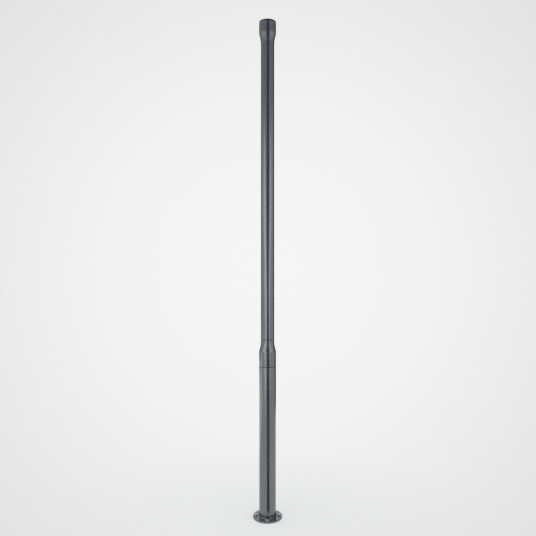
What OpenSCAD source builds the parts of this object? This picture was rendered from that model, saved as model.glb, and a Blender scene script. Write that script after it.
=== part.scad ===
// Stepped lamp post: a bolted base flange, a thick lower tube, a reducer, a slimmer
// upper tube and a flared collar that takes the lamp head.
// Millimetres, +Z up. The origin is on the post's axis, on the underside of the flange.

/* [Post] */
// Height from the underside of the flange to the top of the gasket
post_h = 2250; // [1200:10:4000]
// Outer diameter of the lower tube
lower_d = 76; // [64:1:110]
// Wall of the lower tube
lower_wall = 3; // [2:0.5:5]
// Height of the lower tube's top end
lower_seam_z = 685; // [300:1:1000]
// Outer diameter of the upper tube
upper_d = 60; // [48:1:72]
// Wall of the upper tube
upper_wall = 3; // [2:0.5:5]

/* [Base] */
// Thickness of the base flange
flange_t = 8; // [5:0.5:20]
// Chamfer round the rim of the flange
flange_chamfer = 0.8; // [0.2:0.1:2]
// Ledge of the flange inside the lower tube, round the cable hole
tube_seat = 5; // [2:0.5:12]
// Leg of the fillet weld between the flange and the lower tube
weld_leg = 2; // [1.5:0.5:6]

/* [Bolts] */
// Thread diameter of the bolts
bolt_d = 8; // [6:1:10]
// Step from a bolt's thread to its reduced shank
thread_step = 0.4; // [0.3:0.05:0.6]
// Length of a bolt under its head
bolt_len = 35; // [25:1:80]
// Width of a bolt's head across the flats
bolt_flats = 13; // [12:0.5:17]
// Height of a bolt's head
bolt_head_h = 5.3; // [4:0.1:8]
// Chamfer at the tip of a bolt
bolt_tip_chamfer = 1; // [0.5:0.1:2]
// Radial clearance of a bolt in its hole in the flange
hole_clearance = 0.5; // [0.3:0.1:1]
// Outer diameter of a washer
washer_d = 16; // [14:0.5:24]
// Thickness of a washer
washer_t = 1.6; // [1:0.1:3]
// Radial clearance of a bolt in its washer
washer_clearance = 0.2; // [0.1:0.1:0.4]
// Bare flange between the weld and a washer
washer_to_weld = 4.5; // [1:0.5:20]
// Bare flange between a washer and the rim
washer_to_rim = 5.5; // [3:0.5:30]

/* [Reducer] */
// Full-width stretch of the reducer, above the lower seam
reducer_wide_h = 68; // [20:1:120]
// Length of the reducer's taper
reducer_taper_h = 48; // [25:1:120]
// Slim stretch of the reducer, below the upper seam
reducer_slim_h = 6; // [4:1:60]

/* [Head] */
// Outer diameter of the collar that takes the lamp head
head_d = 76; // [74:1:110]
// Wall of the head collar round its socket
head_wall = 3; // [2:0.5:5]
// Slim stretch of the head collar, above its seam
head_slim_h = 4; // [1:0.5:30]
// Length of the head collar's flare
head_taper_h = 56; // [25:1:120]
// Full-width stretch of the head collar, which is the depth of its socket
head_wide_h = 48; // [30:1:120]
// Chamfer on the rim of the head collar
rim_chamfer = 0.5; // [0.2:0.1:1]
// Height of the rubber gasket on the rim
gasket_h = 5; // [2:0.5:8]
// Step from the collar's faces to the gasket's, outside and inside
gasket_inset = 0.5; // [0.3:0.1:1]

/* [Seams] */
// Length that a spigot reaches into its tube
spigot_len = 60; // [30:1:100]
// Wall of a spigot
spigot_wall = 4; // [2:0.5:6]
// Chamfer at the tip of a spigot
spigot_chamfer = 1; // [0.5:0.5:1.5]
// Radial clearance of a spigot in its tube
spigot_clearance = 0.1; // [0.05:0.05:0.3]
// Thickness of the sealing ring in a seam
seal_t = 1.2; // [0.8:0.1:3]
// Step from a tube's outside to the sealing ring's
seal_inset = 0.6; // [0.2:0.1:1]
// Chamfer on a fitting's edge at a seam
fitting_chamfer = 1; // [0.3:0.1:1.5]
// Chamfer on a tube's edge at a seam
tube_chamfer = 0.4; // [0.2:0.1:1.5]

/* [Hidden] */
$fn = 96;
// Steps in the curve of a taper
taper_steps = 20;
// Share of a taper's length that is curved, from its slim end
taper_curved = 0.8;
// Where the weld's convex face bulges most, as a share of its leg
weld_bulge = 0.6;
// Length that a cut runs past the solid it cuts
overcut = 1;

lower_r = lower_d / 2;
lower_bore_r = lower_r - lower_wall;
upper_r = upper_d / 2;
upper_bore_r = upper_r - upper_wall;
head_r = head_d / 2;
socket_r = head_r - head_wall;

lower_spigot_r = lower_bore_r - spigot_clearance;
upper_spigot_r = upper_bore_r - spigot_clearance;
lower_cable_r = lower_spigot_r - spigot_wall;
upper_cable_r = upper_spigot_r - spigot_wall;

washer_r = washer_d / 2;
cable_hole_r = lower_bore_r - tube_seat;
bolt_circle_r = lower_r + weld_leg + washer_to_weld + washer_r;
flange_r = bolt_circle_r + washer_r + washer_to_rim;

reducer_z = lower_seam_z + seal_t;
reducer_taper_z = reducer_z + reducer_wide_h;
reducer_slim_z = reducer_taper_z + reducer_taper_h;
upper_seam_z = reducer_slim_z + reducer_slim_h;
upper_tube_z = upper_seam_z + seal_t;

rim_z = post_h - gasket_h;
head_wide_z = rim_z - head_wide_h;
head_taper_z = head_wide_z - head_taper_h;
collar_z = head_taper_z - head_slim_h;
head_seam_z = collar_z - seal_t;

BOLT_NAMES = ["front", "right", "back", "left"];

coat = [0.30, 0.32, 0.34];
steel = [0.78, 0.78, 0.80];
rubber = [0.05, 0.05, 0.05];

// Share of a taper's step in radius at the share t of its length from the slim end:
// a parabola that starts along the tube, then a straight cone
function flare(t) =
    let (k = 1 / (2 * taper_curved - pow(taper_curved, 2)))
    t < taper_curved ? k * t * t : k * taper_curved * (2 * t - taper_curved);

// Points of a taper's outline, from its slim end to its wide end
function taper(slim_r, slim_z, wide_r, wide_z) = [
    for (i = [0 : taper_steps])
        let (t = i / taper_steps)
        [slim_r + (wide_r - slim_r) * flare(t), slim_z + (wide_z - slim_z) * t]
];

function reversed(points) = [for (i = [len(points) - 1 : -1 : 0]) points[i]];

// A ring between two radii, from z = 0 up
module ring(outer_r, inner_r, h) {
    difference() {
        cylinder(r = outer_r, h = h);
        translate([0, 0, -overcut]) cylinder(r = inner_r, h = h + 2 * overcut);
    }
}

// A tube between two heights, each end with its own outside chamfer
module tube(outer_r, bore_r, low_z, low_chamfer, high_z, high_chamfer) {
    rotate_extrude()
        polygon([
            [bore_r, low_z],
            [outer_r - low_chamfer, low_z],
            [outer_r, low_z + low_chamfer],
            [outer_r, high_z - high_chamfer],
            [outer_r - high_chamfer, high_z],
            [bore_r, high_z],
        ]);
}

// Moves its children to the axis of a bolt, counted from the front
module at_bolt(i) {
    angle = 360 * i / len(BOLT_NAMES) - 90;
    translate([bolt_circle_r * cos(angle), bolt_circle_r * sin(angle), 0]) children();
}

module base_flange() {
    color(coat)
        difference() {
            rotate_extrude()
                polygon([
                    [cable_hole_r, 0],
                    [flange_r - flange_chamfer, 0],
                    [flange_r, flange_chamfer],
                    [flange_r, flange_t - flange_chamfer],
                    [flange_r - flange_chamfer, flange_t],
                    [cable_hole_r, flange_t],
                ]);
            for (i = [0 : len(BOLT_NAMES) - 1])
                at_bolt(i)
                    translate([0, 0, -overcut])
                        cylinder(r = bolt_d / 2 + hole_clearance, h = flange_t + 2 * overcut);
        }
}

// A bead with a slightly convex face, between the flange's top and the lower tube
module foot_weld() {
    color(coat)
        translate([0, 0, flange_t])
            rotate_extrude()
                polygon([
                    [lower_r, 0],
                    [lower_r + weld_leg, 0],
                    [lower_r + weld_leg * weld_bulge, weld_leg * weld_bulge],
                    [lower_r, weld_leg],
                ]);
}

module lower_tube() {
    color(coat) tube(lower_r, lower_bore_r, flange_t, 0, lower_seam_z, tube_chamfer);
}

module upper_tube() {
    color(coat) tube(upper_r, upper_bore_r, upper_tube_z, tube_chamfer, head_seam_z, tube_chamfer);
}

// A flat ring round a spigot, between a tube's end and a fitting's shoulder
module seal_ring(outer_r, bore_r, z) {
    color(rubber)
        translate([0, 0, z]) ring(outer_r - seal_inset, bore_r, seal_t);
}

// A fitting with a spigot at each end: down into the lower tube and up into the upper one
module reducer() {
    low_z = reducer_z - spigot_len;
    high_z = upper_seam_z + spigot_len;
    color(coat)
        rotate_extrude()
            polygon(concat(
                [
                    [lower_cable_r, low_z],
                    [lower_spigot_r - spigot_chamfer, low_z],
                    [lower_spigot_r, low_z + spigot_chamfer],
                    [lower_spigot_r, reducer_z],
                    [lower_r - fitting_chamfer, reducer_z],
                    [lower_r, reducer_z + fitting_chamfer],
                ],
                reversed(taper(upper_r, reducer_slim_z, lower_r, reducer_taper_z)),
                [
                    [upper_r, upper_seam_z - fitting_chamfer],
                    [upper_r - fitting_chamfer, upper_seam_z],
                    [upper_spigot_r, upper_seam_z],
                    [upper_spigot_r, high_z - spigot_chamfer],
                    [upper_spigot_r - spigot_chamfer, high_z],
                    [upper_cable_r, high_z],
                ],
                taper(upper_cable_r, reducer_slim_z, lower_cable_r, reducer_taper_z)
            ));
}

// A flared socket for the lamp head, with a spigot down into the upper tube
module head_collar() {
    low_z = collar_z - spigot_len;
    color(coat)
        rotate_extrude()
            polygon(concat(
                [
                    [upper_cable_r, low_z],
                    [upper_spigot_r - spigot_chamfer, low_z],
                    [upper_spigot_r, low_z + spigot_chamfer],
                    [upper_spigot_r, collar_z],
                    [upper_r - fitting_chamfer, collar_z],
                    [upper_r, collar_z + fitting_chamfer],
                ],
                taper(upper_r, head_taper_z, head_r, head_wide_z),
                [
                    [head_r, rim_z - rim_chamfer],
                    [head_r - rim_chamfer, rim_z],
                    [socket_r, rim_z],
                ],
                reversed(taper(upper_cable_r, head_taper_z, socket_r, head_wide_z))
            ));
}

module head_gasket() {
    color(rubber)
        translate([0, 0, rim_z])
            ring(head_r - gasket_inset, socket_r + gasket_inset, gasket_h);
}

module washer(i) {
    color(steel)
        at_bolt(i)
            translate([0, 0, flange_t])
                ring(washer_r, bolt_d / 2 + washer_clearance, washer_t);
}

// A hexagon bolt with a reduced shank through the flange and a full thread below it
module bolt(i) {
    seat_z = flange_t + washer_t;
    tip_z = seat_z - bolt_len;
    thread_r = bolt_d / 2;
    color(steel)
        at_bolt(i) {
            translate([0, 0, seat_z])
                cylinder(d = bolt_flats / cos(30), h = bolt_head_h, $fn = 6);
            cylinder(r = thread_r - thread_step, h = seat_z);
            translate([0, 0, tip_z + bolt_tip_chamfer])
                cylinder(r = thread_r, h = -tip_z - bolt_tip_chamfer);
            translate([0, 0, tip_z])
                cylinder(r1 = thread_r - bolt_tip_chamfer, r2 = thread_r, h = bolt_tip_chamfer);
        }
}

base_flange();
foot_weld();
lower_tube();
seal_ring(lower_r, lower_bore_r, lower_seam_z);  // lower_seal_ring
reducer();
seal_ring(upper_r, upper_bore_r, upper_seam_z);  // upper_seal_ring
upper_tube();
seal_ring(upper_r, upper_bore_r, head_seam_z);  // head_seal_ring
head_collar();
head_gasket();
for (i = [0 : len(BOLT_NAMES) - 1]) {
    washer(i);
    bolt(i);
}
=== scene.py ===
# %% [markdown]
# # A stepped lamp post
#
# The post is a thick tube welded to a round base flange, a reducer, a slimmer tube
# and a flared collar for the lamp head. All of it is turned or drawn metal, so almost
# every piece is a profile swept once round the post's axis. The exact solids come in
# first. They fix where everything is, and each finer piece made below takes one's place.

import math
import bpy
import numpy as np
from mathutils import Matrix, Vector


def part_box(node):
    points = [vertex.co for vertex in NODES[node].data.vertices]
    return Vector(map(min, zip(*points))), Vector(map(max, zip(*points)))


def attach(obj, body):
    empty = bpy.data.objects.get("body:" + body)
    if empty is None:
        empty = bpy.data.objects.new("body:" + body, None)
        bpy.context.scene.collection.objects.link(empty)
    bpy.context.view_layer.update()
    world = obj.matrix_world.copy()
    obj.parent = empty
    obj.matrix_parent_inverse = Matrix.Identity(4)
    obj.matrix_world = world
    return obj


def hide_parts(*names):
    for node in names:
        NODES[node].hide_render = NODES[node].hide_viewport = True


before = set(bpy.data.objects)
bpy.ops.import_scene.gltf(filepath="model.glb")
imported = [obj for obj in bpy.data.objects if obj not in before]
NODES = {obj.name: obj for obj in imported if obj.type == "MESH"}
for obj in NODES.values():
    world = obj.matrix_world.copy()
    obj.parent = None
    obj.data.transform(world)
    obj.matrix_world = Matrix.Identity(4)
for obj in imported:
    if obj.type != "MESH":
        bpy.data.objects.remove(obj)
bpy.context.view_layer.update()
mm = 0.001

print("nodes:", len(NODES))

# %% [markdown]
# ## Where things are
#
# Every size below is read from the boxes of the exact solids, or is one of the post's
# own dimensions: tube walls, seam chamfers, bolt and washer sizes. The lists are short,
# and each later cell names the dimension that it uses.

# %% Main sizes, in metres
WIDE_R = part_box("lower_tube")[1][0]
SLIM_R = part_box("upper_tube")[1][0]
FLANGE_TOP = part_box("base_flange")[1][2]
LOWER_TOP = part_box("lower_tube")[1][2]
REDUCER_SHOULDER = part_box("lower_seal_ring")[1][2]
NECK_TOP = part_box("upper_seal_ring")[0][2]
UPPER_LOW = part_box("upper_tube")[0][2]
UPPER_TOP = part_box("upper_tube")[1][2]
COLLAR_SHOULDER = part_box("head_seal_ring")[1][2]
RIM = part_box("head_gasket")[0][2]

WALL = 3 * mm
SPIGOT_WALL = 4 * mm
SPIGOT_CLEARANCE = 0.1 * mm
FITTING_CHAMFER = 1 * mm
TUBE_CHAMFER = 0.4 * mm
WELDED_CHAMFER = 0.1 * mm
RIM_CHAMFER = 0.5 * mm
SPIGOT_CHAMFER = 1 * mm

print("wide tube radius %.1f mm, slim tube radius %.1f mm" % (WIDE_R / mm, SLIM_R / mm))
print("seams at %.1f, %.1f and %.1f mm" % (LOWER_TOP / mm, NECK_TOP / mm, UPPER_TOP / mm))

# %% [markdown]
# ## Colours
#
# A colour is written as a hex value, as it looks on a screen. Blender's shaders work on
# linear light, so one function converts every value and nothing else does.

# %% Hex colour to linear light
def linear(hex_colour):
    """Each channel c in 0..1: c / 12.92 below 0.04045, otherwise ((c + 0.055) / 1.055) ** 2.4."""
    channels = np.array([int(hex_colour[i:i + 2], 16) for i in (1, 3, 5)]) / 255
    low = channels / 12.92
    high = ((channels + 0.055) / 1.055) ** 2.4
    return (*np.where(channels <= 0.04045, low, high).tolist(), 1.0)


print("mid grey in linear light:", [round(c, 3) for c in linear("#808080")])

# %% [markdown]
# ## One helper for shader nodes
#
# A material is a small graph. This helper adds one node, sets its values by name, and
# links its inputs, so that each material below reads from top to bottom like a recipe.

# %% Add a shader node
def add(tree, kind, settings=None, **inputs):
    """Adds a node. settings are its own properties; an input is a value or another node's socket."""
    node = tree.nodes.new("ShaderNode" + kind)
    for name, value in (settings or {}).items():
        setattr(node, name, value)
    for name, value in inputs.items():
        socket = node.inputs[int(name[1:])] if name[1:].isdigit() else node.inputs[name.replace("_", " ")]
        if isinstance(value, bpy.types.NodeSocket):
            tree.links.new(value, socket)
        else:
            socket.default_value = value
    return node


def new_material(name):
    """An empty material with its output node, ready for a shader."""
    material = bpy.data.materials.new(name)
    material.use_nodes = True
    material.node_tree.nodes.clear()
    return material, material.node_tree, material.node_tree.nodes.new("ShaderNodeOutputMaterial")


print("shader helper ready")

# %% [markdown]
# ## The coat: iron-mica powder coat
#
# Lamp posts are often powder coated in a dark grey that holds flat flakes of iron mica.
# The flakes lie along the surface like tiny mirrors, so the coat is nearly a metal: dim
# when it faces something dark and mid grey when it faces a lit wall. The powder melts
# in an oven and sets with a faint orange peel, which softens every reflection.
#
# Three things vary: the flakes make the colour sparkle a little, the orange peel is a
# bump of 2.5 mm waves, and handling leaves broad patches that are slightly less glossy.

# %% Iron-mica powder coat
coat, tree, out = new_material("iron_mica_powder_coat")
place = add(tree, "TexCoord").outputs["Object"]

# real flakes are 0.1 mm; drawn at 1.6 mm so that they show from across a garden
flakes = add(tree, "TexVoronoi", {"feature": "F1"}, Vector=place, Scale=1 / (1.6 * mm), Randomness=1.0)
flake_grey = add(tree, "SeparateColor", Color=flakes.outputs["Color"]).outputs["Red"]
flake_tint = add(tree, "ValToRGB", Fac=flake_grey)
flake_tint.color_ramp.elements[0].color = linear("#74787c")
flake_tint.color_ramp.elements[1].color = linear("#82868a")

# broad patches, 140 mm across, from the oven and from handling
patches = add(tree, "TexNoise", Vector=place, Scale=1 / (140 * mm), Detail=3.0, Roughness=0.55)
dulling = add(tree, "MapRange", Value=patches.outputs["Fac"],
              From_Min=0.3, From_Max=0.7, To_Min=0.20, To_Max=0.24)

# orange peel: waves of 2.5 mm, a few hundredths of a millimetre high
peel = add(tree, "TexNoise", Vector=place, Scale=1 / (2.5 * mm), Detail=2.0, Roughness=0.5)
peel_bump = add(tree, "Bump", Strength=0.2, Distance=0.05 * mm, Height=peel.outputs["Fac"])

coat_shader = add(tree, "BsdfPrincipled", Metallic=0.9, Roughness=dulling.outputs["Result"],
                  Normal=peel_bump.outputs["Normal"], i0=flake_tint.outputs["Color"])
tree.links.new(coat_shader.outputs["BSDF"], out.inputs["Surface"])
print(coat.name, "has", len(tree.nodes), "nodes")

# %% [markdown]
# ## Bolts and washers: plain stainless steel
#
# Bolts are cold headed and their tops faced on a lathe, which leaves fine rings. Washers
# are punched from sheet and tumbled. Both are bright grey with a soft sheen, so one
# material does, and its rings follow the piece's own UV map: U runs round the piece, V
# along its outline.

# %% Stainless steel
stainless, tree, out = new_material("stainless_steel")
rings_uv = add(tree, "UVMap").outputs["UV"]
place = add(tree, "TexCoord").outputs["Object"]

# turning marks every 0.4 mm along the outline, none round it
stretched = add(tree, "Mapping", {"vector_type": "POINT"}, Vector=rings_uv, Scale=(4.0, 1 / (0.4 * mm), 1.0))
marks = add(tree, "TexNoise", Vector=stretched.outputs["Vector"], Scale=1.0, Detail=2.0, Roughness=0.6)
mark_bump = add(tree, "Bump", Strength=0.25, Distance=0.02 * mm, Height=marks.outputs["Fac"])

# tumbling and weather leave 4 mm patches of duller metal
wear = add(tree, "TexNoise", Vector=place, Scale=1 / (4 * mm), Detail=3.0, Roughness=0.5)
wear_rough = add(tree, "MapRange", Value=wear.outputs["Fac"],
                 From_Min=0.3, From_Max=0.7, To_Min=0.22, To_Max=0.36)
wear_tint = add(tree, "ValToRGB", Fac=wear.outputs["Fac"])
wear_tint.color_ramp.elements[0].color = linear("#b4b5b6")
wear_tint.color_ramp.elements[1].color = linear("#d2d3d4")

steel_shader = add(tree, "BsdfPrincipled", Metallic=1.0, Roughness=wear_rough.outputs["Result"],
                   Normal=mark_bump.outputs["Normal"], i0=wear_tint.outputs["Color"])
tree.links.new(steel_shader.outputs["BSDF"], out.inputs["Surface"])
print(stainless.name, "has", len(tree.nodes), "nodes")

# %% [markdown]
# ## Seals: moulded EPDM rubber
#
# The ring in each seam and the gasket on the rim are black EPDM, a rubber that lasts
# outdoors. It is matt, with a grey bloom that comes and goes over a few millimetres, and
# the mould leaves a fine grain.

# %% EPDM rubber
rubber, tree, out = new_material("epdm_rubber")
place = add(tree, "TexCoord").outputs["Object"]

bloom = add(tree, "TexNoise", Vector=place, Scale=1 / (6 * mm), Detail=3.0, Roughness=0.6)
bloom_tint = add(tree, "ValToRGB", Fac=bloom.outputs["Fac"])
bloom_tint.color_ramp.elements[0].position = 0.3
bloom_tint.color_ramp.elements[0].color = linear("#101112")
bloom_tint.color_ramp.elements[1].position = 0.75
bloom_tint.color_ramp.elements[1].color = linear("#1c1d1f")
grain = add(tree, "TexNoise", Vector=place, Scale=1 / (0.8 * mm), Detail=2.0)
grain_bump = add(tree, "Bump", Strength=0.3, Distance=0.05 * mm, Height=grain.outputs["Fac"])

rubber_shader = add(tree, "BsdfPrincipled", Roughness=0.7, IOR=1.52,
                    Normal=grain_bump.outputs["Normal"], i0=bloom_tint.outputs["Color"])
tree.links.new(rubber_shader.outputs["BSDF"], out.inputs["Surface"])
print(rubber.name, "has", len(tree.nodes), "nodes")

# %% [markdown]
# ## From a grid of points to a mesh
#
# Each new piece is a grid of points, worked out as one numpy array: rows run along the
# piece's outline and columns round its axis. Neighbouring points make quads. A ring
# closes on itself both ways, like a doughnut. A solid turned piece starts and ends on
# its axis, so its first and last rows are closed with a fan of triangles round one point.

# %% Grid to mesh
def grid_mesh(name, points, material, node, closed_outline=True, sharp=30):
    """Quads join grid point (i, j) to (i + 1, j), (i + 1, j + 1) and (i, j + 1); columns wrap round.

    With closed_outline the rows wrap round too. Without it each end row is capped by a fan.
    UV: U is the turn as a share of 1, V is the length along the outline in metres.
    """
    rows, columns = points.shape[:2]
    index = np.arange(rows * columns).reshape(rows, columns)
    below = index if closed_outline else index[:-1]
    above = np.roll(index, -1, axis=0) if closed_outline else index[1:]
    quads = np.stack([below, np.roll(below, -1, axis=1), np.roll(above, -1, axis=1), above], axis=-1)
    vertices = points.reshape(-1, 3)
    faces = quads.reshape(-1, 4).tolist()

    step = np.linalg.norm(np.diff(points, axis=0, append=points[:1]), axis=2).mean(axis=1)
    length = np.concatenate([[0.0], np.cumsum(step)])
    u = np.arange(columns) / columns
    u_quad = np.stack([u, u + 1 / columns, u + 1 / columns, u], axis=-1)
    v_low = length[:below.shape[0]]
    v_high = length[1:below.shape[0] + 1]
    v_quad = np.stack([v_low, v_low, v_high, v_high], axis=-1)
    uv = np.zeros(quads.shape + (2,))
    uv[..., 0] = u_quad[None, :, :]
    uv[..., 1] = v_quad[:, None, :]
    uv = uv.reshape(-1, 2)

    if not closed_outline:
        ends = np.stack([points[0].mean(axis=0), points[-1].mean(axis=0)])
        first, last = len(vertices), len(vertices) + 1
        vertices = np.concatenate([vertices, ends])
        low_fan = np.stack([np.full(columns, first), np.roll(index[0], -1), index[0]], axis=-1)
        high_fan = np.stack([np.full(columns, last), index[-1], np.roll(index[-1], -1)], axis=-1)
        faces += low_fan.tolist() + high_fan.tolist()
        fan_uv = np.stack([np.tile(u[:, None], (1, 3)), np.tile([0.0, 0.0, 0.0], (columns, 1))], axis=-1)
        top_uv = fan_uv.copy()
        top_uv[..., 1] = length[rows - 1]
        uv = np.concatenate([uv, fan_uv.reshape(-1, 2), top_uv.reshape(-1, 2)])

    mesh = bpy.data.meshes.new(name)
    mesh.from_pydata(vertices.tolist(), [], faces)
    mesh.uv_layers.new(name="UVMap").data.foreach_set("uv", uv.ravel())
    mesh.polygons.foreach_set("use_smooth", np.ones(len(faces), dtype=bool))
    mesh.set_sharp_from_angle(angle=math.radians(sharp))
    mesh.materials.append(material)
    piece = bpy.data.objects.new(name, mesh)
    bpy.context.scene.collection.objects.link(piece)
    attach(piece, "root")
    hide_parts(node)
    return piece


print("grid helper ready")

# %% [markdown]
# ## Outlines with rounded corners
#
# No made edge is perfectly sharp. A turned corner has a radius of a few tenths of a
# millimetre, which catches a thin line of light. This function takes the corners of an
# outline, each with its own radius, and gives back the outline with every corner rounded.

# %% Round the corners of an outline
def rounded(corners, radii, steps=5):
    """Each corner is cut back by radius * tan(turn / 2) along both sides and bridged by an arc.

    The arc's points are corner + (1 - t)^2 * back + t^2 * ahead, a parabola close to the arc.
    """
    corners = np.asarray(corners, dtype=float)
    to_back = np.roll(corners, 1, axis=0) - corners
    to_next = np.roll(corners, -1, axis=0) - corners
    back_len = np.linalg.norm(to_back, axis=1)
    next_len = np.linalg.norm(to_next, axis=1)
    to_back = to_back / back_len[:, None]
    to_next = to_next / next_len[:, None]
    turn = np.pi - np.arccos(np.clip((to_back * to_next).sum(axis=1), -1, 1))
    cut = np.minimum(np.asarray(radii) * np.tan(turn / 2), 0.45 * np.minimum(back_len, next_len))
    t = np.linspace(0, 1, steps)[None, :, None]
    way = (1 - t) ** 2 * to_back[:, None] + t ** 2 * to_next[:, None]
    return (corners[:, None] + cut[:, None, None] * way).reshape(-1, 2)


def turned(outline, columns=192, centre=(0.0, 0.0)):
    """An outline of (radius, height) swept round the axis: x = r cos a, y = r sin a, z = height."""
    angle = np.arange(columns) * 2 * np.pi / columns
    r = outline[:, 0][:, None]
    z = np.broadcast_to(outline[:, 1][:, None], (len(outline), columns))
    return np.stack([centre[0] + r * np.cos(angle), centre[1] + r * np.sin(angle), z], axis=-1)


square = rounded([(0, 0), (1, 0), (1, 1), (0, 1)], [0.1] * 4)
print("a square with rounded corners has", len(square), "points")

# %% [markdown]
# ## The flange
#
# The base flange is a plate cut from 8 mm sheet with a chamfered rim, four bolt holes
# and a wide hole for the cable. The exact solid already has all of that, so it stays as
# it is and only gets the coat.

# %% Coat the flange
flange = NODES["base_flange"]
for material_slot in flange.material_slots:
    material_slot.material = coat
print("base_flange keeps its mesh,", len(flange.data.polygons), "faces, and gets", coat.name)

# %% [markdown]
# ## The two tubes
#
# Both tubes are drawn, so they are the same all the way up. Each end is chamfered where
# it meets a seam, and the chamfer's corners are slightly round.

# %% Lower and upper tube
def tube_outline(outer_r, low, low_chamfer, high, high_chamfer):
    """Down the bore, then up the outside, with a chamfer at each outer corner."""
    corners = [(outer_r - WALL, high), (outer_r - WALL, low), (outer_r - low_chamfer, low),
               (outer_r, low + low_chamfer), (outer_r, high - high_chamfer),
               (outer_r - high_chamfer, high)]
    return rounded(corners, [0.3 * mm, 0.3 * mm, 0.2 * mm, 0.3 * mm, 0.3 * mm, 0.2 * mm])


lower_outline = tube_outline(WIDE_R, FLANGE_TOP, WELDED_CHAMFER, LOWER_TOP, TUBE_CHAMFER)
upper_outline = tube_outline(SLIM_R, UPPER_LOW, TUBE_CHAMFER, UPPER_TOP, TUBE_CHAMFER)
lower = grid_mesh("drawn_tube_lower", turned(lower_outline), coat, "lower_tube")
upper = grid_mesh("drawn_tube_upper", turned(upper_outline), coat, "upper_tube")
print("lower tube", len(lower.data.polygons), "faces; upper tube", len(upper.data.polygons), "faces")

# %% [markdown]
# ## Tapers
#
# The reducer and the head collar change width along a curve: it leaves the slim end
# along the tube, bends outwards ever faster, and ends straight at a crisp edge at the
# wide end. A spun or cast fitting has this shape, because a smooth start is easy
# to make and the wide end is cut square.

# %% The taper's curve
CURVED = 0.8


def taper(slim_r, slim_z, wide_r, wide_z, steps=36):
    """Share t of the length gives share k t^2 of the step up to CURVED, then the tangent line."""
    t = np.linspace(0, 1, steps)
    k = 1 / (2 * CURVED - CURVED ** 2)
    share = np.where(t < CURVED, k * t ** 2, k * CURVED * (2 * t - CURVED))
    return np.stack([slim_r + (wide_r - slim_r) * share, slim_z + (wide_z - slim_z) * t], axis=-1)


print("halfway up a taper the step is", round(float(taper(0, 0, 1, 1, 3)[1, 0]), 3))

# %% [markdown]
# ## The reducer
#
# The reducer carries the slim tube on the thick one. Two spigots, out of sight, reach
# 60 mm into the tubes, and a shoulder at each end seats on a seal. Its outline goes up
# the outside, over the upper spigot, and down the cable way inside.

# %% Reducer
REDUCER_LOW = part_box("reducer")[0][2]
REDUCER_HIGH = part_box("reducer")[1][2]
LOWER_SPIGOT_R = WIDE_R - WALL - SPIGOT_CLEARANCE
UPPER_SPIGOT_R = SLIM_R - WALL - SPIGOT_CLEARANCE
LOWER_WAY_R = LOWER_SPIGOT_R - SPIGOT_WALL
UPPER_WAY_R = UPPER_SPIGOT_R - SPIGOT_WALL
WIDE_BAND_H = 68 * mm
NECK_H = 6 * mm
TAPER_LOW = REDUCER_SHOULDER + WIDE_BAND_H
TAPER_HIGH = NECK_TOP - NECK_H

outside_low = rounded([(LOWER_WAY_R, REDUCER_LOW), (LOWER_SPIGOT_R - SPIGOT_CHAMFER, REDUCER_LOW),
                       (LOWER_SPIGOT_R, REDUCER_LOW + SPIGOT_CHAMFER), (LOWER_SPIGOT_R, REDUCER_SHOULDER),
                       (WIDE_R - FITTING_CHAMFER, REDUCER_SHOULDER),
                       (WIDE_R, REDUCER_SHOULDER + FITTING_CHAMFER), (WIDE_R, TAPER_LOW - 2 * mm)],
                      [0.3 * mm, 0.3 * mm, 0.3 * mm, 0.05 * mm, 0.2 * mm, 0.6 * mm, 0.0])[:-4]
outside_high = rounded([(SLIM_R, TAPER_HIGH + 2 * mm), (SLIM_R, NECK_TOP - FITTING_CHAMFER),
                        (SLIM_R - FITTING_CHAMFER, NECK_TOP), (UPPER_SPIGOT_R, NECK_TOP),
                        (UPPER_SPIGOT_R, REDUCER_HIGH - SPIGOT_CHAMFER),
                        (UPPER_SPIGOT_R - SPIGOT_CHAMFER, REDUCER_HIGH), (UPPER_WAY_R, REDUCER_HIGH)],
                       [0.0, 0.6 * mm, 0.2 * mm, 0.05 * mm, 0.3 * mm, 0.3 * mm, 0.3 * mm])[4:]
reducer_outline = np.concatenate([
    outside_low,
    taper(SLIM_R, TAPER_HIGH, WIDE_R, TAPER_LOW)[::-1],
    outside_high,
    taper(UPPER_WAY_R, TAPER_HIGH, LOWER_WAY_R, TAPER_LOW),
])
reducer = grid_mesh("reducer_fitting", turned(reducer_outline), coat, "reducer")
print("reducer outline has", len(reducer_outline), "points,", len(reducer.data.polygons), "faces")

# %% [markdown]
# ## The head collar
#
# The collar is the same kind of fitting the other way up: a spigot down into the slim
# tube, a short neck, a flare, and a straight band whose inside is the socket for the
# lamp head.

# %% Head collar
COLLAR_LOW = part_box("head_collar")[0][2]
BAND_H = 48 * mm
FLARE_H = 56 * mm
BAND_LOW = RIM - BAND_H
FLARE_LOW = BAND_LOW - FLARE_H
SOCKET_R = WIDE_R - WALL

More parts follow.
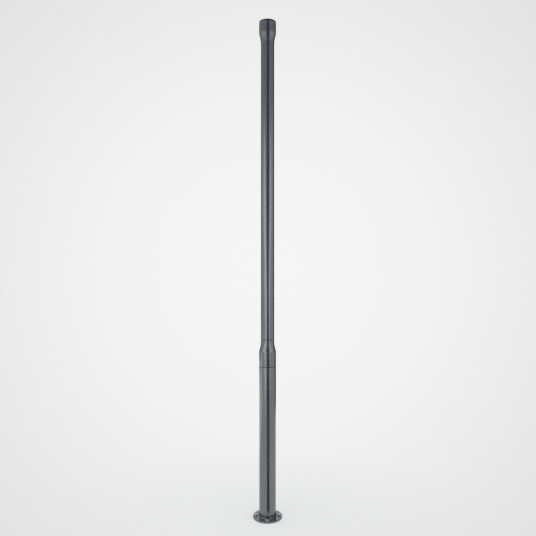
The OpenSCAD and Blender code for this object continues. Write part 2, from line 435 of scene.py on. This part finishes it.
collar_low = rounded([(UPPER_WAY_R, COLLAR_LOW), (UPPER_SPIGOT_R - SPIGOT_CHAMFER, COLLAR_LOW),
                      (UPPER_SPIGOT_R, COLLAR_LOW + SPIGOT_CHAMFER), (UPPER_SPIGOT_R, COLLAR_SHOULDER),
                      (SLIM_R - FITTING_CHAMFER, COLLAR_SHOULDER),
                      (SLIM_R, COLLAR_SHOULDER + FITTING_CHAMFER), (SLIM_R, FLARE_LOW - 0.2 * mm)],
                     [0.3 * mm, 0.3 * mm, 0.3 * mm, 0.05 * mm, 0.2 * mm, 0.4 * mm, 0.0])[:-4]
collar_rim = rounded([(WIDE_R, BAND_LOW + 2 * mm), (WIDE_R, RIM - RIM_CHAMFER),
                      (WIDE_R - RIM_CHAMFER, RIM), (SOCKET_R, RIM), (SOCKET_R, BAND_LOW + 2 * mm)],
                     [0.0, 0.4 * mm, 0.2 * mm, 0.3 * mm, 0.0])[4:-4]
collar_outline = np.concatenate([
    collar_low,
    taper(SLIM_R, FLARE_LOW, WIDE_R, BAND_LOW),
    collar_rim,
    taper(UPPER_WAY_R, FLARE_LOW, SOCKET_R, BAND_LOW)[::-1],
])
collar = grid_mesh("flared_collar", turned(collar_outline), coat, "head_collar")
print("collar outline has", len(collar_outline), "points,", len(collar.data.polygons), "faces")

# %% [markdown]
# ## Rubber rings
#
# A seal is a flat ring that bulges slightly where the tube presses it. Its inner and
# outer faces are therefore a little round, and the ring stands back from the tube's
# outside, which is why a seam shows as a thin dark line.

# %% Seals and gasket
def ring_piece(name, node, material, radius=0.5):
    """A rectangle as high as the node's box, between its two radii, with round corners in mm."""
    low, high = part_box(node)
    outer_r = high[0]
    inner_r = INNER_R[node]
    corners = [(inner_r, high[2]), (inner_r, low[2]), (outer_r, low[2]), (outer_r, high[2])]
    return grid_mesh(name, turned(rounded(corners, [radius * mm] * 4)), material, node)


INNER_R = {"lower_seal_ring": WIDE_R - WALL, "upper_seal_ring": SLIM_R - WALL,
           "head_seal_ring": SLIM_R - WALL, "head_gasket": SOCKET_R + 0.5 * mm}
for node in ("lower_seal_ring", "upper_seal_ring", "head_seal_ring"):
    piece = ring_piece(node.replace("_ring", "_rubber"), node, rubber)
    print(piece.name, len(piece.data.polygons), "faces")
gasket = ring_piece("rim_gasket_rubber", "head_gasket", rubber, radius=0.8)
print(gasket.name, len(gasket.data.polygons), "faces")

# %% [markdown]
# ## The foot weld
#
# The tube is welded all round to the flange before coating. A welder lays the bead as a
# row of overlapping puddles, which freeze as ripples about 2 mm apart. The coat fills
# them, so they stay shallow. Here the bead's convex face is pushed out and in by a
# rounded saw wave that leans along the weld.

# %% Weld bead
def weld_points(leg, ripple, columns=1440, across=14):
    """At angle a across it the bead's face is this far from its corner:

    leg * body * (1 - sin 2a * (0.05 + wander - 0.07 * ridge)). body is a curve a little
    straighter than a circle, ridge is the ripple and wander a slow change round the foot.
    Points go from the flange up to the tube; the two straight legs close the section.
    """
    a = np.linspace(0, np.pi / 2, across)[:, None]
    turn = np.arange(columns)[None, :] * 2 * np.pi / columns
    count = round(2 * np.pi * WIDE_R / ripple)
    lean = 0.9 * np.sin(2 * a)
    phase = (turn * count / (2 * np.pi) + lean / np.pi) % 1.0
    ridge = np.abs(np.sin(np.pi * phase)) ** 0.7
    wander = 0.03 * np.sin(5 * turn) + 0.02 * np.sin(11 * turn + 1.3)
    body = (np.cos(a) ** 1.6 + np.sin(a) ** 1.6) ** (-1 / 1.6)
    bulge = leg * body * (1 - np.sin(2 * a) * (0.05 + wander - 0.07 * ridge))
    r = WIDE_R + np.minimum(bulge * np.cos(a), leg)
    z = FLANGE_TOP + np.minimum(bulge * np.sin(a), leg)
    inside_r = np.full((1, columns), WIDE_R - WELD_DEPTH)
    r = np.concatenate([r, inside_r, inside_r])
    z = np.concatenate([z, z[-1:, :], np.full((1, columns), FLANGE_TOP)])
    turn = np.broadcast_to(turn, r.shape)
    return np.stack([r * np.cos(turn), r * np.sin(turn), z], axis=-1)


WELD_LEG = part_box("foot_weld")[1][2] - FLANGE_TOP
WELD_DEPTH = 0.3 * mm
RIPPLE = 2.2 * mm
weld = grid_mesh("rippled_weld_bead", weld_points(WELD_LEG, RIPPLE), coat, "foot_weld", sharp=60)
print("weld leg %.1f mm, %d faces" % (WELD_LEG / mm, len(weld.data.polygons)))

# %% [markdown]
# ## Washers
#
# A washer is punched from sheet, so its upper edge is slightly round and its hole is a
# little larger than the bolt.

# %% Washers
SIDES = ("front", "right", "back", "left")
WASHER_HOLE_R = 4.2 * mm


def centre_of(node):
    """The middle of a node's box, seen from above."""
    low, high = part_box(node)
    return ((low[0] + high[0]) / 2, (low[1] + high[1]) / 2)


for side in SIDES:
    node = "washer_" + side
    low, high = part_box(node)
    outer_r = (high[0] - low[0]) / 2
    corners = [(WASHER_HOLE_R, high[2]), (WASHER_HOLE_R, low[2]), (outer_r, low[2]), (outer_r, high[2])]
    outline = rounded(corners, [0.2 * mm, 0.1 * mm, 0.1 * mm, 0.4 * mm])
    points = turned(outline, 96, centre_of(node))
    washer = grid_mesh("plain_washer_" + side, points, stainless, node)
print("washer radius %.1f mm, %d faces each" % (outer_r / mm, len(washer.data.polygons)))

# %% [markdown]
# ## Bolts
#
# A hexagon bolt is one turned shape with a hexagon cut into it, so it is still a radius
# for each turn and height. The head's radius is the hexagon's own, the flat top is
# chamfered by a 30 degree cone, and the thread's radius is a V wave that climbs one
# pitch, 1.25 mm on an M8 bolt, with each turn.

# %% Hexagon bolts
HEAD_H = 5.3 * mm
FLATS_R = 6.5 * mm
THREAD_R = 4.0 * mm
SHANK_R = 3.6 * mm
TIP_CHAMFER = 1.0 * mm
AXIS_R = 0.1 * mm
PITCH = 1.25 * mm
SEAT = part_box("washer_front")[1][2]


def bolt_points(tip, columns=96):
    """Rows of (radius, height) for every turn, from the tip up the thread, shank, head and top."""
    angle = np.arange(columns) * 2 * np.pi / columns
    turn = angle[None, :]

    thread_z = np.arange(tip, 0.0, PITCH / 10)[:, None]
    wave = np.abs(((thread_z / PITCH - turn / (2 * np.pi)) % 1.0) - 0.5) * 2
    cut = 0.61 * PITCH * np.clip(1.15 * (1 - wave) - 0.08, 0, 1)
    start = np.clip((thread_z - tip) / TIP_CHAMFER, 0, 1)
    cone = THREAD_R - (1 - start) * TIP_CHAMFER
    thread_r = np.minimum(THREAD_R - cut, cone)
    thread_z = np.broadcast_to(thread_z, thread_r.shape)

    hexagon = FLATS_R / np.cos((angle + np.pi / 6) % (np.pi / 3) - np.pi / 6)
    face_r = 0.95 * FLATS_R
    crown = HEAD_H - np.maximum(hexagon - face_r, 0) * np.tan(np.pi / 6)
    rows = [
        # where the thread ends, the shank, and the head's round bearing face
        (np.full(columns, THREAD_R - 0.3 * mm), np.full(columns, 0.0)),
        (np.full(columns, SHANK_R), np.full(columns, 0.3 * mm)),
        (np.full(columns, SHANK_R), np.full(columns, SEAT)),
        (np.full(columns, 0.92 * FLATS_R), np.full(columns, SEAT)),
        # the hexagon, with its lower and upper edges slightly round
        (np.minimum(hexagon, 1.03 * FLATS_R), np.full(columns, SEAT + 0.25 * mm)),
        (hexagon - 0.08 * mm, np.full(columns, SEAT + 0.4 * mm)),
        (hexagon, np.full(columns, SEAT + 0.55 * mm)),
        (hexagon, SEAT + crown - 0.25 * mm),
        (hexagon - 0.12 * mm, SEAT + crown),
        # the flat top
        (np.full(columns, face_r), np.full(columns, SEAT + HEAD_H)),
        (np.full(columns, 0.5 * face_r), np.full(columns, SEAT + HEAD_H)),
        (np.full(columns, AXIS_R), np.full(columns, SEAT + HEAD_H)),
    ]
    r = np.concatenate([np.full((1, columns), AXIS_R), thread_r, np.stack([row[0] for row in rows])])
    z = np.concatenate([np.full((1, columns), tip), thread_z, np.stack([row[1] for row in rows])])
    return r, z, angle


for side in SIDES:
    node = "bolt_" + side
    radius, height, angle = bolt_points(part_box(node)[0][2])
    x, y = centre_of(node)
    points = np.stack([x + radius * np.cos(angle), y + radius * np.sin(angle), height], axis=-1)
    bolt = grid_mesh("hexagon_bolt_" + side, points, stainless, node,
                     closed_outline=False, sharp=25)
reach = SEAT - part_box(node)[0][2]
print("bolts under the head %.1f mm long, %d faces each" % (reach / mm, len(bolt.data.polygons)))

# %% [markdown]
# ## Camera
#
# The camera stands level at half the post's height, 2.45 m away, with a 36 mm lens. A
# level camera keeps the post's sides upright.

# %% Camera
STAND = (0.0, -2.4464, 1.1324)
camera_data = bpy.data.cameras.new("camera")
camera_data.sensor_width = 36.0
camera_data.lens = 36.13
camera_data.shift_x = 0.0008
camera = bpy.data.objects.new("camera", camera_data)
camera.location = STAND
camera.rotation_euler = (math.radians(90), 0, 0)
bpy.context.scene.collection.objects.link(camera)
bpy.context.scene.camera = camera
print("field of view %.1f degrees" % math.degrees(camera_data.angle))

# %% [markdown]
# ## Backdrop
#
# The studio is a pale room whose far wall fades a little towards its edges. The world
# draws it: its brightness falls with the angle away from straight ahead, and stays level
# behind. Only the camera and the reflections see that fade. The light that the room gives
# is even, so that it shows the post's own colours.

# %% World
PALE = [(0.0, "#f6f6f6"), (0.30, "#f2f2f2"), (0.46, "#ebebeb"), (0.66, "#e1e1e1"), (1.0, "#dddddd")]


def pale_fade(tree, direction):
    """The tone for a direction: arccos(direction . +Y), in radians, is its place on the ramp."""
    ahead = add(tree, "VectorMath", {"operation": "DOT_PRODUCT"}, i0=direction, i1=(0.0, 1.0, 0.0))
    away = add(tree, "Math", {"operation": "ARCCOSINE"}, i0=ahead.outputs["Value"])
    ramp = add(tree, "ValToRGB", Fac=away.outputs["Value"])
    points = ramp.color_ramp.elements
    while len(points) < len(PALE):
        points.new(0.5)
    for point, (position, colour) in zip(points, PALE):
        point.position = position
        point.color = linear(colour)
    return ramp.outputs["Color"]


def seen_or_mirrored(tree):
    """1 for a camera, glossy or transmission ray, 0 for a ray that only carries light."""
    ray = add(tree, "LightPath").outputs
    seen = add(tree, "Math", {"operation": "MAXIMUM"}, i0=ray["Is Camera Ray"], i1=ray["Is Glossy Ray"])
    seen = add(tree, "Math", {"operation": "MAXIMUM"},
               i0=seen.outputs["Value"], i1=ray["Is Transmission Ray"])
    return seen.outputs["Value"]


world = bpy.data.worlds.new("pale_studio")
bpy.context.scene.world = world
world.use_nodes = True
tree = world.node_tree
tree.nodes.clear()
view = add(tree, "VectorMath", {"operation": "NORMALIZE"}, i0=add(tree, "TexCoord").outputs["Generated"])
room = add(tree, "Background", Color=pale_fade(tree, view.outputs["Vector"]), Strength=1.0)
light = add(tree, "Background", Color=linear("#f0f1f3"), Strength=1.0)
mixed = add(tree, "MixShader", Fac=seen_or_mirrored(tree),
            i1=light.outputs["Background"], i2=room.outputs["Background"])
add(tree, "OutputWorld", Surface=mixed.outputs["Shader"])
print("world has", len(tree.nodes), "nodes")

# %% [markdown]
# ## Floor
#
# The floor is a large disc that glows in the same pale tone as the wall behind it, so that no horizon
# shows. The glow is painted light: brightest straight ahead of the camera's stand, dimmer at wider
# angles. Near the post it is also lit like any matt surface and keeps the post's soft shadow.

# %% Floor
floor_glow_and_paint, tree, out = new_material("pale_floor_glow_and_paint")
place = add(tree, "TexCoord").outputs["Object"]
from_stand = add(tree, "VectorMath", {"operation": "SUBTRACT"}, i0=place, i1=STAND)
away = add(tree, "VectorMath", {"operation": "NORMALIZE"}, i0=from_stand.outputs["Vector"])
# the floor's tone is painted: the wall's fade, taken from the camera's stand
tone = pale_fade(tree, away.outputs["Vector"])
distance = add(tree, "VectorMath", {"operation": "LENGTH"}, i0=place)

# half of the tone is real light near the post, none of it beyond 1.1 m; the rest is painted glow
near = add(tree, "MapRange", {"interpolation_type": "SMOOTHSTEP"}, Value=distance.outputs["Value"],
           From_Min=0.2, From_Max=1.1, To_Min=0.5, To_Max=0.0)
unseen = add(tree, "Math", {"operation": "SUBTRACT"}, i0=1.0, i1=seen_or_mirrored(tree))
lit_share = add(tree, "Math", {"operation": "MAXIMUM"},
                i0=unseen.outputs["Value"], i1=near.outputs["Result"])
matt = add(tree, "BsdfDiffuse", Color=tone)
glow = add(tree, "Emission", Color=tone, Strength=1.0)
surface = add(tree, "MixShader", Fac=lit_share.outputs["Value"],
              i1=glow.outputs["Emission"], i2=matt.outputs["BSDF"])
tree.links.new(surface.outputs["Shader"], out.inputs["Surface"])

# a disc of rings, 128 points each, with one flat polygon in the middle
radii = np.array([0.5, 1.5, 5.0, 20.0, 60.0])
spread = turned(np.stack([radii, np.zeros(len(radii))], axis=-1), columns=128)
index = np.arange(spread.shape[0] * spread.shape[1]).reshape(spread.shape[:2])
inner, outer = index[:-1], index[1:]
quads = np.stack([inner, outer, np.roll(outer, -1, axis=1), np.roll(inner, -1, axis=1)], axis=-1)
faces = quads.reshape(-1, 4).tolist() + [index[0].tolist()]
floor_mesh = bpy.data.meshes.new("floor")
floor_mesh.from_pydata(spread.reshape(-1, 3).tolist(), [], faces)
floor_mesh.materials.append(floor_glow_and_paint)
floor = bpy.data.objects.new("floor", floor_mesh)
bpy.context.scene.collection.objects.link(floor)
print("floor radius", float(radii[-1]), "m")

# %% [markdown]
# ## Soft boxes
#
# A metal-like coat shows what it mirrors. Two tall soft boxes stand in front of the post,
# left and right, and draw the bright bands along it. They end near 2.3 m, so the bands
# fade towards the top. A small strip light low on the left brightens the wide tube's
# left edge, and only reflections see it. A box's brightness is its power divided by pi
# times its area.

# %% Lights
def soft_box(name, turn, distance, width, low, high, brightness):
    """An upright rectangle at that turn from -Y (positive to +X), facing the post's axis.

    Sizes are in metres, low and high above the floor. Brightness 1 is as bright as white paper.
    """
    data = bpy.data.lights.new(name, "AREA")
    data.shape = "RECTANGLE"
    data.size = width
    data.size_y = high - low
    data.energy = brightness * math.pi * width * (high - low)
    box = bpy.data.objects.new(name, data)
    a = math.radians(turn)
    box.location = (distance * math.sin(a), -distance * math.cos(a), (low + high) / 2)
    box.rotation_euler = (Vector((-math.sin(a), math.cos(a), 0))).to_track_quat("-Z", "Z").to_euler()
    box.visible_camera = False
    bpy.context.scene.collection.objects.link(box)
    return box


soft_box("soft_box_left", -43, 1.6, 0.94, 0.1, 2.30, 0.90)
soft_box("soft_box_right", 43, 1.6, 0.94, 0.3, 2.25, 0.55)
strip = soft_box("strip_light_left", -112, 0.5, 0.4, 0.0, 0.80, 0.45)
strip.visible_diffuse = False

# %% [markdown]
# ## The cloths
#
# A strip of dark blue-grey felt hangs behind the camera and runs along the floor towards
# the post: it draws the dark stripe. Pale muslin hangs high up in front of the post and
# dims its upper end. Two more felt strips hang behind the post, left and right, and give
# its sides a thin dark edge. The camera never sees a cloth. Only the reflections do.

# %% Felt and muslin
def new_cloth(name, dark, light):
    """A matt cloth with 3 mm flecks between two colours."""
    material, tree, out = new_material(name)
    place = add(tree, "TexCoord").outputs["Object"]
    fibres = add(tree, "TexNoise", Vector=place, Scale=1 / (3 * mm), Detail=2.0)
    tint = add(tree, "ValToRGB", Fac=fibres.outputs["Fac"])
    tint.color_ramp.elements[0].color = linear(dark)
    tint.color_ramp.elements[1].color = linear(light)
    shader = add(tree, "BsdfDiffuse", Color=tint.outputs["Color"])
    tree.links.new(shader.outputs["BSDF"], out.inputs["Surface"])
    return material


ARC_POINTS = 13


def arc(first_turn, last_turn, distance, height):
    """Points on a level arc: distance * (sin turn, -cos turn), turns in degrees from -Y."""
    a = np.radians(np.linspace(first_turn, last_turn, ARC_POINTS))
    return np.stack([distance * np.sin(a), -distance * np.cos(a), np.full(ARC_POINTS, height)], axis=-1)


def hang(name, cloth, one_edge, other_edge):
    """A sheet of cloth between two rows of points, for the reflections only."""
    i = np.arange(ARC_POINTS - 1)
    quads = np.stack([i, i + 1, i + 1 + ARC_POINTS, i + ARC_POINTS], axis=-1)
    mesh = bpy.data.meshes.new(name)
    mesh.from_pydata(np.concatenate([one_edge, other_edge]).tolist(), [], quads.tolist())
    mesh.materials.append(cloth)
    sheet = bpy.data.objects.new(name, mesh)
    sheet.visible_camera = False
    sheet.visible_diffuse = False
    sheet.visible_shadow = False
    bpy.context.scene.collection.objects.link(sheet)


felt = new_cloth("dark_felt", "#1a2029", "#28313d")
muslin = new_cloth("grey_muslin", "#bfc1c4", "#c9cbce")
CLEAR_OF_FLOOR = 1 * mm
hang("felt_behind_camera", felt, arc(-13, 25, 2.9, 0.0), arc(-13, 25, 2.9, 5.0))
hang("felt_runner", felt, arc(-8, 24, 0.10, CLEAR_OF_FLOOR), arc(-8, 24, 2.9, CLEAR_OF_FLOOR))
hang("felt_left", felt, arc(-128, -172, 2.0, 0.35), arc(-128, -172, 2.0, 4.0))
hang("felt_right", felt, arc(112, 172, 2.0, 0.0), arc(112, 172, 2.0, 4.0))
hang("muslin_high", muslin, arc(-110, 110, 3.5, 2.9), arc(-110, 110, 3.5, 6.0))

# %% [markdown]
# ## The last steps
#
# The plain Standard view keeps each colour as it was written.

# %% Colour management
bpy.context.scene.view_settings.view_transform = "Standard"
